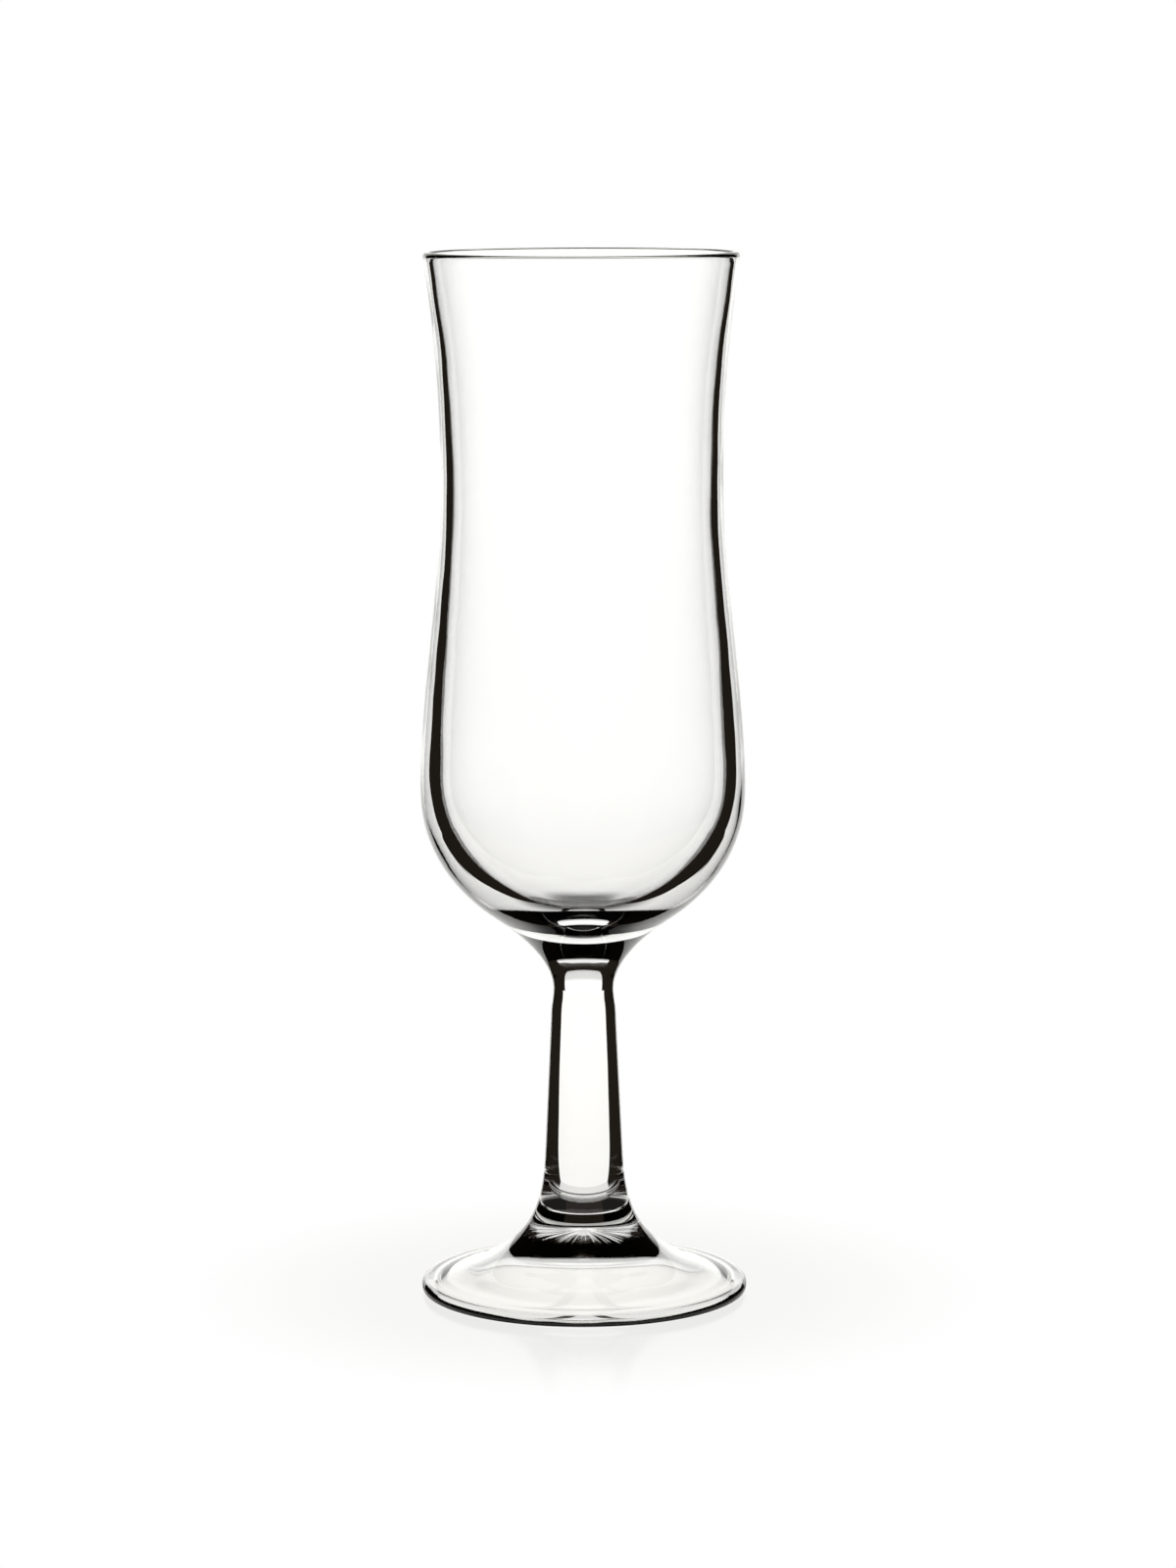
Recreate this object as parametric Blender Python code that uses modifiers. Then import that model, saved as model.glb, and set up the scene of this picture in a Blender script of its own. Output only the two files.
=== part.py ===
"""A sparkling wine glass: a thick-walled bowl with a drawn-in waist, a short solid stem and a flared foot.

The three pieces are turned about +Z and stand on z = 0. They meet on flat faces, where the glass is fused.
"""

import math

import bpy
from mathutils import Vector

# Driving dimensions, in metres and degrees

# Foot, measured up from the surface that it rests on
FOOT_HEIGHT = 0.0105
FOOT_RADIUS = 0.0283
FOOT_SHOULDER_HEIGHT = 0.00245
FOOT_EDGE_DEPTH = 0.00204
FOOT_EDGE_WIDEST_HEIGHT = 0.00082
FOOT_HEEL_DEPTH = 0.00043
REST_RING_WIDTH = 0.0010
HOLLOW_EDGE_SLOPE = 22.0
HOLLOW_LIP_DEPTH = 0.00386
HOLLOW_LIP_HEIGHT = 0.00146
HOLLOW_LIP_SLOPE = 13.0
HOLLOW_PEAK_SLOPE = 10.0
GLASS_OVER_HOLLOW = 0.0011

# Stem, measured up from the face where it is fused to the foot
STEM_LENGTH = 0.0425
STEM_BASE_RADIUS = 0.0106
STEM_BASE_SLOPE = 52.6
STEM_FLARE_HEIGHT = 0.0135
STEM_LOWER_RADIUS = 0.00676
STEM_UPPER_RADIUS = 0.0056
STEM_SHOULDER_LENGTH = 0.0040

# Bowl, measured up from the face where its neck is fused to the stem
BOWL_HEIGHT = 0.1270
NECK_RADIUS = 0.0052
UNDERSIDE_RADIUS = 0.0156
UNDERSIDE_HEIGHT = 0.0130
UNDERSIDE_SLOPE = 34.0
BELLY_RADIUS = 0.0280
BELLY_HEIGHT = 0.0347
BELLY_WALL = 0.00327
INNER_BELLY_HEIGHT = 0.0363
WAIST_RADIUS = 0.0242
WAIST_HEIGHT = 0.0872
WAIST_WALL = 0.0021
RIM_RADIUS = 0.0270
RIM_WALL = 0.0015
RIM_FLARE = 8.3
CUP_FLOOR_HEIGHT = 0.0130

# How full each curve is at its start and its end, as shares of the distance between them
EVEN_FULLNESS = (1 / 3, 1 / 3)
EDGE_FULLNESS = (0.42, 0.42)
FLOOR_FULLNESS = (0.28, 0.455)
RIM_FULLNESS = (0.41, 0.33)
UNDERSIDE_FULLNESS = (0.44, 0.26)
NECK_FULLNESS = (0.36, 0.30)
STEM_FLARE_FULLNESS = (0.44, 0.31)
FOOT_TOP_FULLNESS = (0.23, 0.28)
HOLLOW_FULLNESS = (0.445, 0.635)

# How finely the shapes are turned
TURN_STEPS = 40
LONG_CURVE_STEPS = 8
SHORT_CURVE_STEPS = 5
MERGE_DISTANCE = 0.00001
SHARP_ANGLE = 35.0

# Clear soda-lime glass
GLASS_COLOUR = (0.96, 0.97, 0.965, 1.0)
GLASS_ROUGHNESS = 0.02
GLASS_IOR = 1.51

# Directions in a profile, whose points are (radius, height)
UP = Vector((0.0, 1.0))
DOWN = -UP
INWARD = Vector((-1.0, 0.0))


def slope_out(degrees):
    """The direction that runs outwards and down at an angle below the horizontal."""
    return Vector((math.cos(math.radians(degrees)), -math.sin(math.radians(degrees))))


def curve(start, start_direction, end, end_direction, steps, fullness):
    """Points of a Bezier curve after its start."""
    reach = (end - start).length
    first = start + start_direction.normalized() * reach * fullness[0]
    second = end - end_direction.normalized() * reach * fullness[1]
    points = []
    for step in range(1, steps + 1):
        t = step / steps
        s = 1.0 - t
        points.append(s**3 * start + 3 * s * s * t * first + 3 * s * t * t * second + t**3 * end)
    return points


def bowl_profile():
    """From the middle of the cup's floor up the inside, over the rim and down the outside to the neck."""
    flare = math.radians(RIM_FLARE)
    lip_radius = RIM_WALL / 2
    lip_centre = Vector((RIM_RADIUS - lip_radius, BOWL_HEIGHT - lip_radius))
    down_wall = Vector((-math.sin(flare), -math.cos(flare)))
    across_lip = Vector((math.cos(flare), -math.sin(flare))) * lip_radius

    floor = Vector((0.0, CUP_FLOOR_HEIGHT))
    inner_belly = Vector((BELLY_RADIUS - BELLY_WALL, INNER_BELLY_HEIGHT))
    inner_waist = Vector((WAIST_RADIUS - WAIST_WALL, WAIST_HEIGHT))
    waist = Vector((WAIST_RADIUS, WAIST_HEIGHT))
    belly = Vector((BELLY_RADIUS, BELLY_HEIGHT))
    underside = Vector((UNDERSIDE_RADIUS, UNDERSIDE_HEIGHT))
    neck = Vector((NECK_RADIUS, 0.0))
    along_underside = -slope_out(-UNDERSIDE_SLOPE)

    points = [floor]
    points += curve(floor, -INWARD, inner_belly, UP, LONG_CURVE_STEPS, FLOOR_FULLNESS)
    points += curve(inner_belly, UP, inner_waist, UP, LONG_CURVE_STEPS, EVEN_FULLNESS)
    points += curve(inner_waist, UP, lip_centre - across_lip, -down_wall, LONG_CURVE_STEPS, RIM_FULLNESS)
    for step in range(1, SHORT_CURVE_STEPS + 1):
        turn = math.pi - flare - math.pi * step / SHORT_CURVE_STEPS
        points.append(lip_centre + Vector((math.cos(turn), math.sin(turn))) * lip_radius)
    points += curve(points[-1], down_wall, waist, DOWN, LONG_CURVE_STEPS, RIM_FULLNESS[::-1])
    points += curve(waist, DOWN, belly, DOWN, LONG_CURVE_STEPS, EVEN_FULLNESS)
    points += curve(belly, DOWN, underside, along_underside, LONG_CURVE_STEPS, UNDERSIDE_FULLNESS)
    points += curve(underside, along_underside, neck, DOWN, LONG_CURVE_STEPS, NECK_FULLNESS)
    points.append(Vector((0.0, 0.0)))
    return points


def stem_profile():
    """From the middle of its top face down the taper and the flare to the middle of its base face."""
    top = Vector((NECK_RADIUS, STEM_LENGTH))
    shoulder = Vector((STEM_UPPER_RADIUS, STEM_LENGTH - STEM_SHOULDER_LENGTH))
    flare_top = Vector((STEM_LOWER_RADIUS, STEM_FLARE_HEIGHT))
    base = Vector((STEM_BASE_RADIUS, 0.0))
    taper = flare_top - shoulder

    points = [Vector((0.0, STEM_LENGTH)), top]
    points += curve(top, DOWN, shoulder, taper, SHORT_CURVE_STEPS, EVEN_FULLNESS)
    points.append(flare_top)
    points += curve(flare_top, taper, base, slope_out(STEM_BASE_SLOPE), LONG_CURVE_STEPS, STEM_FLARE_FULLNESS)
    points.append(Vector((0.0, 0.0)))
    return points


def foot_profile():
    """From the middle of its top face out to the rounded edge and under it to the peak of the hollow."""
    top = Vector((STEM_BASE_RADIUS, FOOT_HEIGHT))
    shoulder = Vector((FOOT_RADIUS - FOOT_EDGE_DEPTH, FOOT_SHOULDER_HEIGHT))
    widest = Vector((FOOT_RADIUS, FOOT_EDGE_WIDEST_HEIGHT))
    heel = Vector((FOOT_RADIUS - FOOT_HEEL_DEPTH, 0.0))
    ring_inside = Vector((heel.x - REST_RING_WIDTH, 0.0))
    hollow_lip = Vector((ring_inside.x - HOLLOW_LIP_DEPTH, HOLLOW_LIP_HEIGHT))
    peak = Vector((0.0, FOOT_HEIGHT - GLASS_OVER_HOLLOW))
    off_ring = -slope_out(HOLLOW_EDGE_SLOPE)
    into_hollow = -slope_out(HOLLOW_LIP_SLOPE)
    up_to_peak = -slope_out(HOLLOW_PEAK_SLOPE)
    outward = -INWARD

    points = [Vector((0.0, FOOT_HEIGHT)), top]
    points += curve(top, slope_out(STEM_BASE_SLOPE), shoulder, outward, LONG_CURVE_STEPS, FOOT_TOP_FULLNESS)
    points += curve(shoulder, outward, widest, DOWN, SHORT_CURVE_STEPS, EDGE_FULLNESS)
    points += curve(widest, DOWN, heel, INWARD, SHORT_CURVE_STEPS, EDGE_FULLNESS)
    points.append(ring_inside)
    points += curve(ring_inside, off_ring, hollow_lip, into_hollow, SHORT_CURVE_STEPS, EVEN_FULLNESS)
    points += curve(hollow_lip, into_hollow, peak, up_to_peak, LONG_CURVE_STEPS, HOLLOW_FULLNESS)
    return points


def glass_material(name):
    """Clear glass for one piece."""
    material = bpy.data.materials.new(name)
    material.use_nodes = True
    shader = material.node_tree.nodes["Principled BSDF"]
    shader.inputs["Base Color"].default_value = GLASS_COLOUR
    shader.inputs["Roughness"].default_value = GLASS_ROUGHNESS
    shader.inputs["Metallic"].default_value = 0.0
    shader.inputs["IOR"].default_value = GLASS_IOR
    shader.inputs["Transmission Weight"].default_value = 1.0
    return material


def turned_piece(name, profile, height, parent, collection):
    """One solid turned about +Z from its profile, standing at a height on the glass's axis."""
    outline = bpy.data.meshes.new(name + "_outline")
    edges = [(index, index + 1) for index in range(len(profile) - 1)]
    outline.from_pydata([(point.x, 0.0, point.y) for point in profile], edges, [])
    piece = bpy.data.objects.new(name, outline)
    collection.objects.link(piece)

    screw = piece.modifiers.new("turn", "SCREW")
    screw.axis = "Z"
    screw.angle = math.tau
    screw.steps = TURN_STEPS
    screw.render_steps = TURN_STEPS
    screw.use_merge_vertices = True
    screw.merge_threshold = MERGE_DISTANCE

    evaluated = piece.evaluated_get(bpy.context.evaluated_depsgraph_get())
    mesh = bpy.data.meshes.new_from_object(evaluated)
    mesh.name = name
    mesh.shade_smooth()
    mesh.set_sharp_from_angle(angle=math.radians(SHARP_ANGLE))
    piece.modifiers.clear()
    piece.data = mesh
    bpy.data.meshes.remove(outline)

    piece.data.materials.append(glass_material(name + "_glass"))
    piece.parent = parent
    piece.location.z = height
    return piece


def build():
    for item in list(bpy.data.objects):
        bpy.data.objects.remove(item)
    collection = bpy.data.collections.new("sparkling_wine_glass")
    bpy.context.scene.collection.children.link(collection)
    axis = bpy.data.objects.new("glass_axis", None)
    collection.objects.link(axis)

    turned_piece("foot", foot_profile(), 0.0, axis, collection)
    turned_piece("stem", stem_profile(), FOOT_HEIGHT, axis, collection)
    turned_piece("bowl", bowl_profile(), FOOT_HEIGHT + STEM_LENGTH, axis, collection)


build()
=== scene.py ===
"""The looks of the sparkling wine glass: clear fused glass on a pale table, against a bright backdrop.

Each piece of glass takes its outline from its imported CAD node. The facets are rounded off to a smooth turned
surface through the same points, so no size changes. Lengths are in metres and angles in degrees.
"""

import math

import bpy
import numpy as np
from mathutils import Matrix, Vector


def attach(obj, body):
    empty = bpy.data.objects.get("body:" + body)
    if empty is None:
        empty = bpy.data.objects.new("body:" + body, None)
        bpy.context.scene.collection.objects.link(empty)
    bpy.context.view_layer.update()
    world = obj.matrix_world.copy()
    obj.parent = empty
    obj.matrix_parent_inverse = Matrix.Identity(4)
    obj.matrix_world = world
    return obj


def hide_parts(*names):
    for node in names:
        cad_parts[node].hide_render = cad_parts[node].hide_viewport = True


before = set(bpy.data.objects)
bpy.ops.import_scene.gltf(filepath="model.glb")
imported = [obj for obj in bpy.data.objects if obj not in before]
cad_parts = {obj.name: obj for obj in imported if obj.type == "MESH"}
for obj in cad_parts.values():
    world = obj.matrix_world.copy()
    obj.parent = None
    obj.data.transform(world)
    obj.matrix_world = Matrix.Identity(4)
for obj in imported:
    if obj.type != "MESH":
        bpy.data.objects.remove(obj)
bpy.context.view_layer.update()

# Fineness of the glass
TURN_STEPS = 192
LONGEST_STEP = 0.0010
FEWEST_STEPS = 4
SHARP_ANGLE = 30.0

# Smoothing of the outline: the points that are mirrored at the axis, the length from which a step is straight,
# and how many times longer than the next a step is when it takes its direction from there
MIRRORED_POINTS = 3
STRAIGHT_STEP = 0.010
STEP_JUMP = 3.0

# Points this close together are one
SAME_PLACE = 1e-7
PLACE_DIGITS = 7

WHITE = (1.0, 1.0, 1.0, 1.0)

# Clear soda-lime glass
GLASS_IOR = 1.51
GLASS_ROUGHNESS = 0.0
GLASS_SHADOW = (0.93, 0.93, 0.925, 1.0)

# Slow waves over the glass, wrinkles that run out from the middle of the hollow, and wear on the resting ring
WAVE_SCALE = 70.0
WAVE_DETAIL = 1.0
WAVE_HEIGHT = 0.0001
WRINKLE_SCALE = 5.0
WRINKLE_DETAIL = 3.0
WRINKLE_HEIGHT = 0.0003
WRINKLES_IN = (0.0005, 0.003)
WRINKLES_OUT = (0.006, 0.010)
WEAR_HEIGHT = 0.0002
WEAR_ROUGHNESS = 0.25

# Camera: the photograph's viewing angle, with the glass's axis a little left of the middle
CAMERA_LENS = 109.476
SENSOR_HEIGHT = 36.0
SENSOR_WIDTH = 27.0
CAMERA_PLACE = Vector((0.00088, -0.8134, 0.2038))
CAMERA_PITCH = 8.047
CAMERA_ROLL = -0.16

# Bright backdrop behind the glass, square to the camera's view
BACKDROP_DISTANCE = 2.32
BACKDROP_HALF_WIDTH = 0.772
BACKDROP_TOP = 3.0
BACKDROP_BOTTOM = -0.465
BACKDROP_COLOUR = (1.0, 0.999, 0.978, 1.0)
BACKDROP_BRIGHTEST = 1.28
BACKDROP_FALL_BELOW = (0.205, -0.242)
BACKDROP_LOW_STRENGTH = 1.10
BACKDROP_FALL_ABOVE = (0.328, 0.637)
BACKDROP_HIGH_STRENGTH = 0.80

# Dark room round the set, as the glass shows it, and a dim warm sheet behind the camera
ROOM_COLOUR = (0.014, 0.011, 0.008, 1.0)
FRONT_COLOUR = (0.30, 0.23, 0.17, 1.0)
FRONT_HALF_SIZE = 1.2
FRONT_DISTANCE = 0.3

# Table, with its shine near the glass
TABLE_RADIUS = 3.0
TABLE_NEAR = 0.036
TABLE_FAR = 0.076
TABLE_COLOUR = (0.99, 0.988, 0.975, 1.0)
TABLE_SHINE = 0.14
TABLE_SHINE_ROUGHNESS = 0.12
TABLE_SELF_LIT = 0.7

# The table right under the glass, as the glass shows it, as a glowing sheet: painted reflection that is bright at a
# glance, and painted shade under the stem in its middle
SHEEN_DEPTH = 0.00001
SHEEN_RADIUS = 0.032
SHEEN_FULL_RADIUS = 0.0272
SHEEN_COLOUR = (1.01, 1.0, 0.955, 1.0)
# Painted reflection dims from a glance down to SHEEN_LEAST seen from above; towards the outer part SHEEN_OUTER_GAIN
# lifts it, which leaves painted shade in the middle
SHEEN_GLANCE = (0.35, 0.65)
SHEEN_LEAST = 0.012
SHEEN_OUTER = (0.015, 0.021)
SHEEN_OUTER_GAIN = 0.2

# The table behind the glass, as the glass shows it, as glowing strips of painted light, painted reflection and
# painted shadow: strips in (distance, half width) stations
BEHIND_DEPTH = 0.00002
BEHIND_WIDE_DEPTH = 0.00003
BEHIND_NEAR = ((0.0275, 0.0110), (0.041, 0.0164))
BEHIND_FAR = ((0.041, 0.0164), (0.084, 0.048), (0.127, 0.080), (0.25, 0.155))
BEHIND_WIDE = ((0.030, 0.0225), (0.073, 0.0548), (0.144, 0.092), (0.25, 0.150))
BEHIND_COLOUR = (1.005, 1.0, 0.972, 1.0)
# The near strip is dimmer than the far ones: painted shadow of the glass close to it
BEHIND_NEAR_STRENGTH = 0.91
BEHIND_FAR_STRENGTH = 1.11
# Painted shadow of the glass: the strips are dimmer towards the axis
BEHIND_REACH = (0.05, 0.19)
BEHIND_REACH_LEAST = 0.92
# Painted reflection: the strips are dim from above and brightest at a glance
BEHIND_GLANCE = (0.17, 0.36)
BEHIND_GLANCE_LEAST = 0.15
BEHIND_WIDE_GLANCE = (0.45, 0.55)

# Soft lamp over the table
LAMP_HEIGHT = 1.2
LAMP_SIZE = 0.9
LAMP_POWER = 15.0

# How often light is followed through glass, and how often in a mirror
GLASS_BOUNCES = 32
MIRROR_BOUNCES = 2


def half_section(node):
    """The (radius, height) points of a turned CAD node, along its outline from its upper end to its lower end."""
    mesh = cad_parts[node].data
    places = {}
    for vertex in mesh.vertices:
        x, y, z = vertex.co
        if abs(y) < SAME_PLACE and x > -SAME_PLACE:
            places[vertex.index] = (round(x, PLACE_DIGITS), round(z, PLACE_DIGITS))
    neighbours = {}
    for edge in mesh.edges:
        start, end = (places.get(index) for index in edge.vertices)
        if start and end and start != end:
            neighbours.setdefault(start, set()).add(end)
            neighbours.setdefault(end, set()).add(start)
    ends = [place for place, near in neighbours.items() if len(near) == 1]
    outline = [max(ends, key=lambda place: place[1])]
    onward = neighbours[outline[0]]
    while onward:
        outline.append(next(iter(onward)))
        onward = neighbours[outline[-1]] - set(outline)
    return outline


def spline_bends(knots, values, start, end):
    """The second derivatives of a cubic spline at its knots, natural at an end that has no direction of its own."""
    count = len(knots)
    gaps = np.diff(knots)
    slopes = np.diff(values, axis=0) / gaps[:, None]
    system = np.eye(count)
    known = np.zeros_like(values)
    for k in range(1, count - 1):
        system[k, k - 1 : k + 2] = gaps[k - 1], 2 * (gaps[k - 1] + gaps[k]), gaps[k]
        known[k] = 6 * (slopes[k] - slopes[k - 1])
    if start is not None:
        system[0, :2] = 2 * gaps[0], gaps[0]
        known[0] = 6 * (slopes[0] - start)
    if end is not None:
        system[-1, -2:] = gaps[-1], 2 * gaps[-1]
        known[-1] = 6 * (end - slopes[-1])
    return np.linalg.solve(system, known)


def smooth_run(points, start, end):
    """A run of an outline with fine points on a smooth curve between its own, as one list for each step."""
    before = [(-r, z) for r, z in points[MIRRORED_POINTS:0:-1]] if points[0][0] == 0 else []
    values = np.array(before + points)
    lengths = np.linalg.norm(np.diff(values, axis=0), axis=1)
    knots = np.concatenate(([0.0], np.cumsum(lengths)))
    bends = spline_bends(knots, values, start, end)
    steps = []
    for k in range(len(before), len(before) + len(points) - 1):
        gap = lengths[k]
        fine = max(FEWEST_STEPS, math.ceil(gap / LONGEST_STEP))
        step = []
        for t in np.arange(1, fine + 1) / fine:
            s = 1 - t
            bend = (s**3 - s) * bends[k] + (t**3 - t) * bends[k + 1]
            r, z = s * values[k] + t * values[k + 1] + bend * gap**2 / 6
            step.append((max(r, 0.0), z))
        steps.append(step)
    return steps


def direction_from(points):
    """The direction in which the circle through three points leaves the first of them."""
    first, second = np.diff([complex(*point) for point in points])
    share = abs(first) / (abs(first) + abs(second))
    turned = first / abs(first) * ((first / second) / abs(first / second)) ** share
    return np.array((turned.real, turned.imag))


def smooth_outline(points):
    """The glass's whole outline in fine points, as one list for each step of the CAD outline.

    The curve breaks off at the edges of the resting ring. The longest step is straight. Where short steps meet
    other long ones, the short ones give the direction, so the long ones don't bulge.
    """
    breaks = [(0, None)]
    for k in range(1, len(points) - 1):
        before = math.dist(points[k - 1], points[k])
        after = math.dist(points[k], points[k + 1])
        if points[k][1] < SAME_PLACE:
            breaks.append((k, None))
        elif before > STRAIGHT_STEP:
            breaks.append((k, np.subtract(points[k], points[k - 1]) / before))
        elif after > STRAIGHT_STEP:
            breaks.append((k, np.subtract(points[k + 1], points[k]) / after))
        elif before > STEP_JUMP * after:
            breaks.append((k, direction_from(points[k : k + 3])))
        elif after > STEP_JUMP * before:
            breaks.append((k, -direction_from(points[k : k - 3 : -1])))
    breaks.append((len(points) - 1, None))
    steps = []
    for (first, start), (last, end) in zip(breaks, breaks[1:]):
        steps += smooth_run(points[first : last + 1], start, end)
    return steps


def joined(start, steps):
    """The points of several steps in one list, after their start."""
    return [start, *(point for step in steps for point in step)]


def ring(radius, height):
    """Points round the glass's axis."""
    angles = np.arange(TURN_STEPS) * math.tau / TURN_STEPS
    return [(radius * math.cos(a), radius * math.sin(a), height) for a in angles]


def turned_mesh(name, profile, weld_heights):
    """A closed solid turned about +Z. Its flat weld faces take the second material."""
    vertices = []
    rings = []
    for radius, height in profile:
        around = ring(radius, height) if radius > SAME_PLACE else [(0.0, 0.0, height)]
        rings.append(range(len(vertices), len(vertices) + len(around)))
        vertices += around
    faces = []
    weld_faces = []
    for k, (upper, lower) in enumerate(zip(rings, rings[1:])):
        flat = profile[k][1] == profile[k + 1][1] and profile[k][1] in weld_heights
        for i in range(TURN_STEPS):
            j = (i + 1) % TURN_STEPS
            if len(upper) == 1:
                faces.append((upper[0], lower[i], lower[j]))
            elif len(lower) == 1:
                faces.append((upper[i], lower[0], upper[j]))
            else:
                faces.append((upper[i], lower[i], lower[j], upper[j]))
            weld_faces.append(flat)
    mesh = bpy.data.meshes.new(name)
    mesh.from_pydata(vertices, [], faces)
    mesh.polygons.foreach_set("material_index", np.array(weld_faces, dtype=np.int32))
    mesh.shade_smooth()
    mesh.set_sharp_from_angle(angle=math.radians(SHARP_ANGLE))
    return mesh


def new_material(name):
    """An empty node material, as (material, function that adds a node, function that links two sockets)."""
    material = bpy.data.materials.new(name)
    material.use_nodes = True
    tree = material.node_tree
    tree.nodes.clear()
    return material, tree.nodes.new, tree.links.new


def show(add, link, shader):
    """Gives the material its surface."""
    link(shader.outputs[0], add("ShaderNodeOutputMaterial").inputs["Surface"])


def emission(add, colour):
    """A node that glows in a colour."""
    glow = add("ShaderNodeEmission")
    glow.inputs["Color"].default_value = colour
    return glow


def mixed(add, link, first, second):
    """A node that mixes two shaders."""
    mix = add("ShaderNodeMixShader")
    link(first.outputs[0], mix.inputs[1])
    link(second.outputs[0], mix.inputs[2])
    return mix


def ramp(add, link, value, limits, first, last, interpolation="SMOOTHSTEP"):
    """A step from one value to another between two limits, as the socket that gives it."""
    step = add("ShaderNodeMapRange")
    step.interpolation_type = interpolation
    step.inputs["From Min"].default_value = limits[0]
    step.inputs["From Max"].default_value = limits[1]
    step.inputs["To Min"].default_value = first
    step.inputs["To Max"].default_value = last
    link(value, step.inputs["Value"])
    return step.outputs["Result"]


def combined(add, link, operation, first, second):
    """A sum, a product or the smaller of two values, as the socket that gives it."""
    both = add("ShaderNodeMath")
    both.operation = operation
    link(first, both.inputs[0])
    link(second, both.inputs[1])
    return both.outputs[0]


def vector_node(add, link, operation, value):
    """A node that works on one vector."""
    node = add("ShaderNodeVectorMath")
    node.operation = operation
    link(value, node.inputs[0])
    return node


def noise(add, link, place, scale, detail):
    """Smooth random values, as the socket that gives them."""
    node = add("ShaderNodeTexNoise")
    node.inputs["Scale"].default_value = scale
    node.inputs["Detail"].default_value = detail
    link(place, node.inputs["Vector"])
    return node.outputs[0]


def uneven(add, link, heights, distance):
    """A bump that stands for a slightly uneven surface."""
    bump = add("ShaderNodeBump")
    bump.inputs["Distance"].default_value = distance
    link(heights, bump.inputs["Height"])
    return bump


def distance_from_axis(add, link):
    """The distance from the glass's axis on the table, as the socket that gives it."""
    place = add("ShaderNodeTexCoord").outputs["Object"]
    return vector_node(add, link, "LENGTH", place).outputs["Value"]


def wrinkle_heights(add, link, place):
    """Wrinkles that run out from the axis, and fade at the middle and further out."""
    level = vector_node(add, link, "MULTIPLY", place)
    level.inputs[1].default_value = (1.0, 1.0, 0.0)
    outward = vector_node(add, link, "NORMALIZE", level.outputs[0]).outputs[0]
    radius = vector_node(add, link, "LENGTH", level.outputs[0]).outputs["Value"]
    wrinkles = noise(add, link, outward, WRINKLE_SCALE, WRINKLE_DETAIL)
    rise = ramp(add, link, radius, WRINKLES_IN, 0.0, 1.0)
    fall = ramp(add, link, radius, WRINKLES_OUT, 1.0, 0.0)
    return combined(add, link, "MULTIPLY", wrinkles, combined(add, link, "MULTIPLY", rise, fall))


def glass_material(name, is_foot):
    """Clear glass, a little wavy, which lets the lamp's light through to the table."""
    material, add, link = new_material(name)
    glass = add("ShaderNodeBsdfPrincipled")
    glass.inputs["Base Color"].default_value = WHITE
    glass.inputs["Roughness"].default_value = GLASS_ROUGHNESS
    glass.inputs["IOR"].default_value = GLASS_IOR
    glass.inputs["Transmission Weight"].default_value = 1.0

    place = add("ShaderNodeTexCoord").outputs["Object"]
    surface = uneven(add, link, noise(add, link, place, WAVE_SCALE, WAVE_DETAIL), WAVE_HEIGHT)
    if is_foot:
        wrinkles = uneven(add, link, wrinkle_heights(add, link, place), WRINKLE_HEIGHT)
        link(wrinkles.outputs[0], surface.inputs["Normal"])
        axes = add("ShaderNodeSeparateXYZ")
        link(place, axes.inputs[0])
        wear = ramp(add, link, axes.outputs["Z"], (0.0, WEAR_HEIGHT), WEAR_ROUGHNESS, GLASS_ROUGHNESS)
        link(wear, glass.inputs["Roughness"])
    link(surface.outputs[0], glass.inputs["Normal"])

    clear = add("ShaderNodeBsdfTransparent")
    clear.inputs["Color"].default_value = GLASS_SHADOW
    mix = mixed(add, link, glass, clear)
    link(add("ShaderNodeLightPath").outputs["Is Shadow Ray"], mix.inputs[0])
    show(add, link, mix)
    return material


def weld_material():
    """Fused glass inside a joint, where nothing shows."""
    material, add, link = new_material("fused")
    show(add, link, add("ShaderNodeBsdfTransparent"))
    return material


def backdrop_material():
    """A lit backdrop that is brightest behind the bowl and falls off below and above it."""
    material, add, link = new_material("bright_backdrop")
    glow = emission(add, BACKDROP_COLOUR)
    axes = add("ShaderNodeSeparateXYZ")
    link(add("ShaderNodeTexCoord").outputs["Object"], axes.inputs[0])
    height = axes.outputs["Y"]
    below = ramp(add, link, height, BACKDROP_FALL_BELOW, BACKDROP_BRIGHTEST, BACKDROP_LOW_STRENGTH, "LINEAR")
    above = ramp(add, link, height, BACKDROP_FALL_ABOVE, BACKDROP_BRIGHTEST, BACKDROP_HIGH_STRENGTH, "LINEAR")
    link(combined(add, link, "MINIMUM", below, above), glow.inputs["Strength"])
    show(add, link, glow)
    return material


def front_material():
    """An even, dim light."""
    material, add, link = new_material("dim_front")
    show(add, link, emission(add, FRONT_COLOUR))
    return material


def table_material():
    """A pale table with a soft shine near the glass, which fades to white further off."""
    material, add, link = new_material("pale_table")
    matt = add("ShaderNodeBsdfDiffuse")
    matt.inputs["Color"].default_value = TABLE_COLOUR
    shine = add("ShaderNodeBsdfGlossy")
    shine.inputs["Roughness"].default_value = TABLE_SHINE_ROUGHNESS

    lit = mixed(add, link, matt, emission(add, TABLE_COLOUR))
    lit.inputs[0].default_value = TABLE_SELF_LIT
    near = mixed(add, link, lit, shine)
    near.inputs[0].default_value = TABLE_SHINE
    table = mixed(add, link, near, emission(add, WHITE))
    link(ramp(add, link, distance_from_axis(add, link), (TABLE_NEAR, TABLE_FAR), 0.0, 1.0), table.inputs[0])
    show(add, link, table)
    return material


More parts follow.
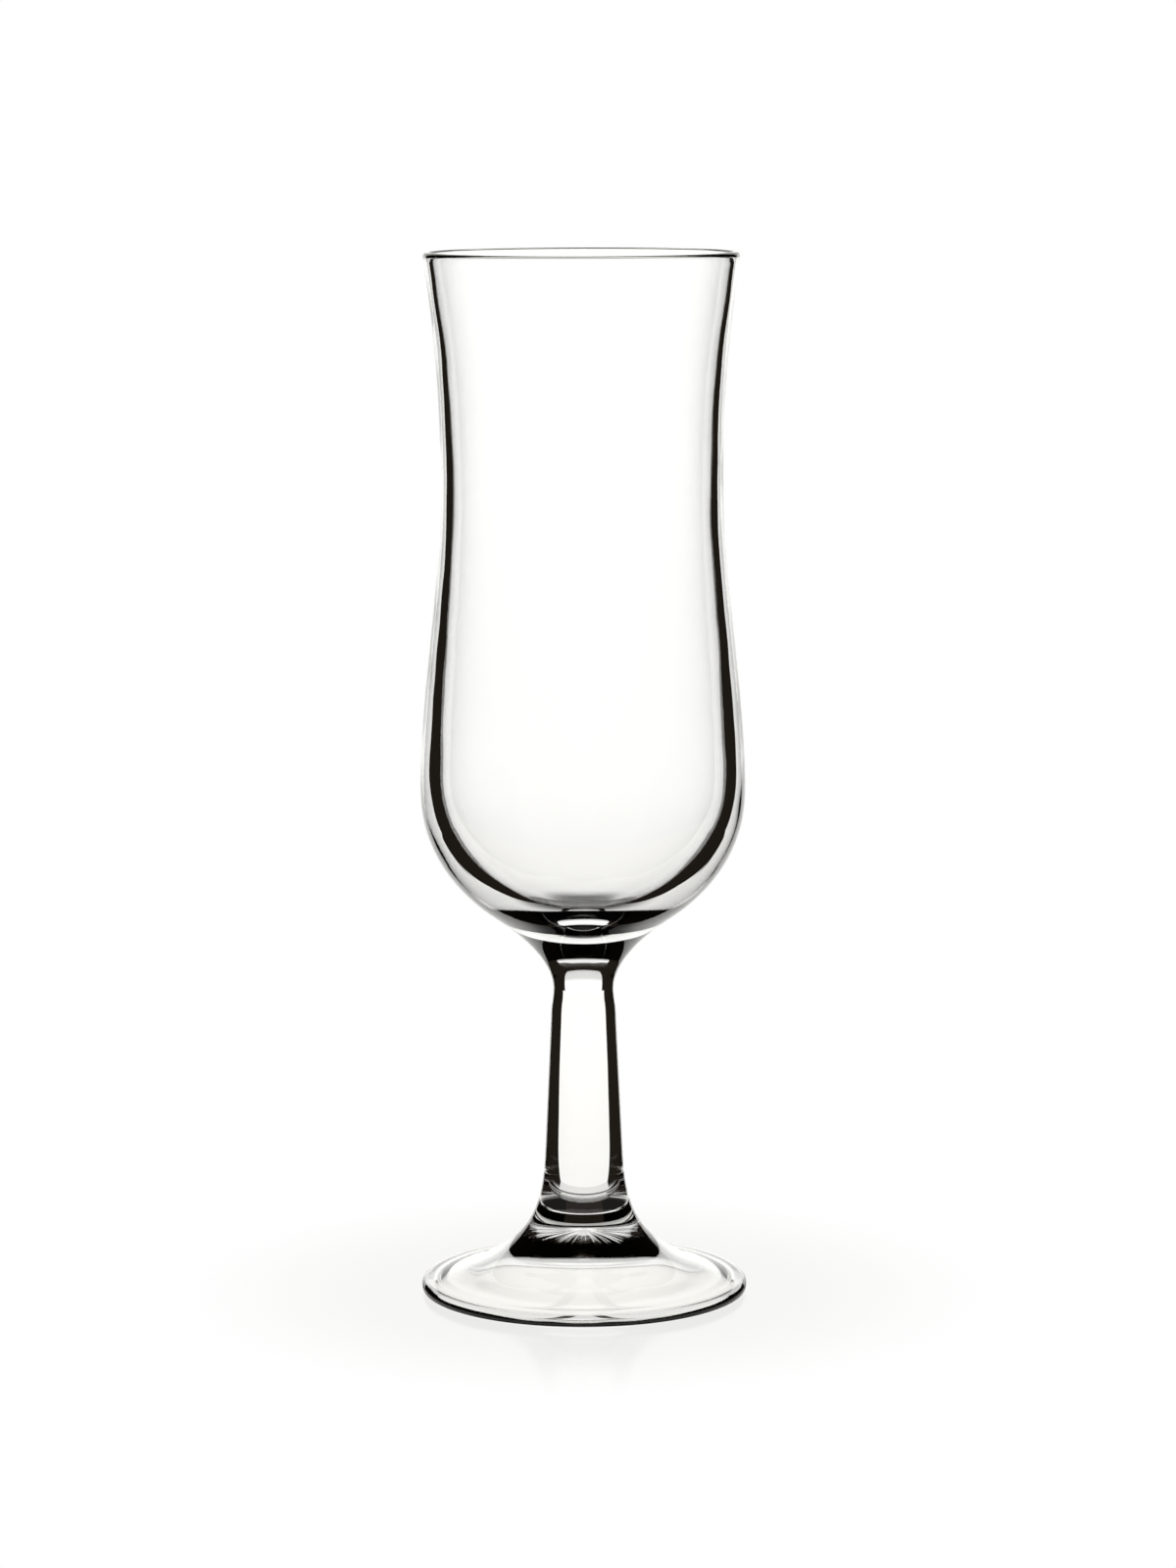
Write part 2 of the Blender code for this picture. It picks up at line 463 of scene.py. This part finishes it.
def painted_sheen_under_glass_material():
    """The table right under the glass, as the glass shows it: painted reflection bright at a glance, painted shade
    dark from above in its middle.
    """
    material, add, link = new_material("painted_sheen_under_glass")
    sheen = emission(add, SHEEN_COLOUR)
    distance = distance_from_axis(add, link)
    # Painted shade: seen from above, the middle under the stem stays darker than the outer part
    outer = ramp(add, link, distance, SHEEN_OUTER, 0.0, SHEEN_OUTER_GAIN)
    glance = combined(add, link, "ADD", add("ShaderNodeLayerWeight").outputs["Facing"], outer)
    strength = ramp(add, link, glance, SHEEN_GLANCE, SHEEN_LEAST, 1.0)
    fade = ramp(add, link, distance, (SHEEN_FULL_RADIUS, SHEEN_RADIUS), 1.0, 0.0)
    link(combined(add, link, "MULTIPLY", strength, fade), sheen.inputs["Strength"])
    show(add, link, sheen)
    return material


def painted_light_of_table_behind(name, strength, steep_only):
    """The table behind the glass, as the glass shows it, in painted light: painted reflection dim from above,
    painted shadow of the glass towards the axis, and open to a glance if asked.
    """
    material, add, link = new_material(name)
    surface = emission(add, BEHIND_COLOUR)
    glance = add("ShaderNodeLayerWeight").outputs["Facing"]
    painted_shadow = ramp(add, link, distance_from_axis(add, link), BEHIND_REACH, BEHIND_REACH_LEAST, 1.0)
    steep = ramp(add, link, glance, BEHIND_GLANCE, BEHIND_GLANCE_LEAST * strength, strength)
    link(combined(add, link, "MULTIPLY", painted_shadow, steep), surface.inputs["Strength"])
    if steep_only:
        surface = mixed(add, link, surface, add("ShaderNodeBsdfTransparent"))
        link(ramp(add, link, glance, BEHIND_WIDE_GLANCE, 0.0, 1.0), surface.inputs[0])
    show(add, link, surface)
    return material


def placed(name, data):
    """A new object in the scene."""
    item = bpy.data.objects.new(name, data)
    bpy.context.scene.collection.objects.link(item)
    return item


def stage_sheet(name, corners, material):
    """A flat sheet of the set, with one face."""
    mesh = bpy.data.meshes.new(name)
    mesh.from_pydata(corners, [], [range(len(corners))])
    mesh.materials.append(material)
    sheet = placed(name, mesh)
    return sheet


def camera_sheet(name, half_width, bottom, top, depth, material):
    """A sheet square to the camera's view, which goes with the camera and lights nothing."""
    corners = [(-half_width, bottom), (half_width, bottom), (half_width, top), (-half_width, top)]
    sheet = stage_sheet(name, [(x, y, depth) for x, y in corners], material)
    sheet.visible_camera = False
    sheet.visible_diffuse = False
    sheet.parent = bpy.context.scene.camera
    return sheet


def table_strip(stations, depth):
    """The corners of a strip of table behind the glass."""
    right = [(half_width, distance, -depth) for distance, half_width in stations]
    left = [(-half_width, distance, -depth) for distance, half_width in reversed(stations)]
    return right + left


def build_glass():
    """Bowl, stem and foot, fused on their weld faces."""
    bowl = half_section("bowl")
    stem = half_section("stem")
    foot = half_section("foot")
    steps = smooth_outline(bowl + stem[1:] + foot[1:])
    neck = stem[0]
    base = foot[0]
    bowl_steps = steps[: len(bowl) - 1]
    stem_steps = steps[len(bowl) - 1 : len(bowl) + len(stem) - 2]
    foot_steps = steps[len(bowl) + len(stem) - 2 :]
    neck_middle = (0.0, neck[1])
    base_middle = (0.0, base[1])
    profiles = {
        "bowl": [*joined(bowl[0], bowl_steps), neck_middle],
        "stem": [neck_middle, *joined(neck, stem_steps), base_middle],
        "foot": [base_middle, *joined(base, foot_steps)],
    }
    weld = weld_material()
    for node, profile in profiles.items():
        mesh = turned_mesh("clear_" + node, profile, (neck[1], base[1]))
        mesh.materials.append(glass_material(node + "_glass_clear", node == "foot"))
        mesh.materials.append(weld)
        piece = placed("clear_" + node, mesh)
        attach(piece, "root")
        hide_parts(node)


def build_camera():
    """The camera, at the photograph's viewing angle."""
    data = bpy.data.cameras.new("camera")
    data.sensor_fit = "VERTICAL"
    data.sensor_height = SENSOR_HEIGHT
    data.sensor_width = SENSOR_WIDTH
    data.lens = CAMERA_LENS
    camera = placed("camera", data)
    tilt = Matrix.Rotation(math.radians(90.0 - CAMERA_PITCH), 4, "X")
    roll = Matrix.Rotation(math.radians(CAMERA_ROLL), 4, "Z")
    camera.matrix_world = Matrix.Translation(CAMERA_PLACE) @ tilt @ roll
    bpy.context.scene.camera = camera


def build_backdrop():
    """The bright backdrop behind the glass, and the dim sheet behind the camera."""
    camera_sheet(
        "backdrop", BACKDROP_HALF_WIDTH, BACKDROP_BOTTOM, BACKDROP_TOP, -BACKDROP_DISTANCE, backdrop_material()
    )
    front = camera_sheet(
        "front_sheet", FRONT_HALF_SIZE, -FRONT_HALF_SIZE, FRONT_HALF_SIZE, FRONT_DISTANCE, front_material()
    )
    front.visible_transmission = False


def build_table():
    """A pale table, and glowing sheets of painted reflection, light and shade for how it looks under and behind the
    glass, which only the glass and the table's shine show.
    """
    table = stage_sheet("table", ring(TABLE_RADIUS, 0.0), table_material())
    table.visible_glossy = False
    table.visible_transmission = False

    near = painted_light_of_table_behind("behind_near", BEHIND_NEAR_STRENGTH, False)
    far = painted_light_of_table_behind("behind_far", BEHIND_FAR_STRENGTH, False)
    wide = painted_light_of_table_behind("behind_wide", BEHIND_FAR_STRENGTH, True)
    # Glowing sheets of painted reflection, light and shade, seen only in the glass
    painted_sheets = [
        stage_sheet("painted_sheen_under_glass", ring(SHEEN_RADIUS, -SHEEN_DEPTH), painted_sheen_under_glass_material()),
        stage_sheet("behind_near", table_strip(BEHIND_NEAR, BEHIND_DEPTH), near),
        stage_sheet("behind_far", table_strip(BEHIND_FAR, BEHIND_DEPTH), far),
        stage_sheet("behind_wide", table_strip(BEHIND_WIDE, BEHIND_WIDE_DEPTH), wide),
    ]
    for sheen in painted_sheets:
        sheen.visible_camera = False
        sheen.visible_diffuse = False
        sheen.visible_shadow = False


def build_lamp():
    """A soft lamp over the table."""
    data = bpy.data.lights.new("soft_lamp", "AREA")
    data.shape = "DISK"
    data.size = LAMP_SIZE
    data.energy = LAMP_POWER
    lamp = placed("soft_lamp", data)
    lamp.location = (0.0, 0.0, LAMP_HEIGHT)
    lamp.visible_camera = False
    lamp.visible_glossy = False
    lamp.visible_transmission = False


def build_world():
    """A world that is white to the eye and dark in the glass."""
    world = bpy.data.worlds.new("studio")
    bpy.context.scene.world = world
    world.use_nodes = True
    world.node_tree.nodes.clear()
    add = world.node_tree.nodes.new
    link = world.node_tree.links.new
    room = add("ShaderNodeBackground")
    room.inputs["Color"].default_value = ROOM_COLOUR
    white = add("ShaderNodeBackground")
    white.inputs["Color"].default_value = WHITE
    mix = mixed(add, link, room, white)
    link(add("ShaderNodeLightPath").outputs["Is Camera Ray"], mix.inputs[0])
    link(mix.outputs[0], add("ShaderNodeOutputWorld").inputs["Surface"])


def set_rendering():
    """Enough bounces for light inside solid glass, and plain colours."""
    scene = bpy.context.scene
    scene.view_settings.view_transform = "Standard"
    scene.cycles.max_bounces = GLASS_BOUNCES
    scene.cycles.transmission_bounces = GLASS_BOUNCES
    scene.cycles.transparent_max_bounces = GLASS_BOUNCES
    scene.cycles.glossy_bounces = MIRROR_BOUNCES
    scene.cycles.blur_glossy = 0.0
    scene.cycles.caustics_reflective = True
    scene.cycles.caustics_refractive = True


build_glass()
build_camera()
build_backdrop()
build_table()
build_lamp()
build_world()
set_rendering()
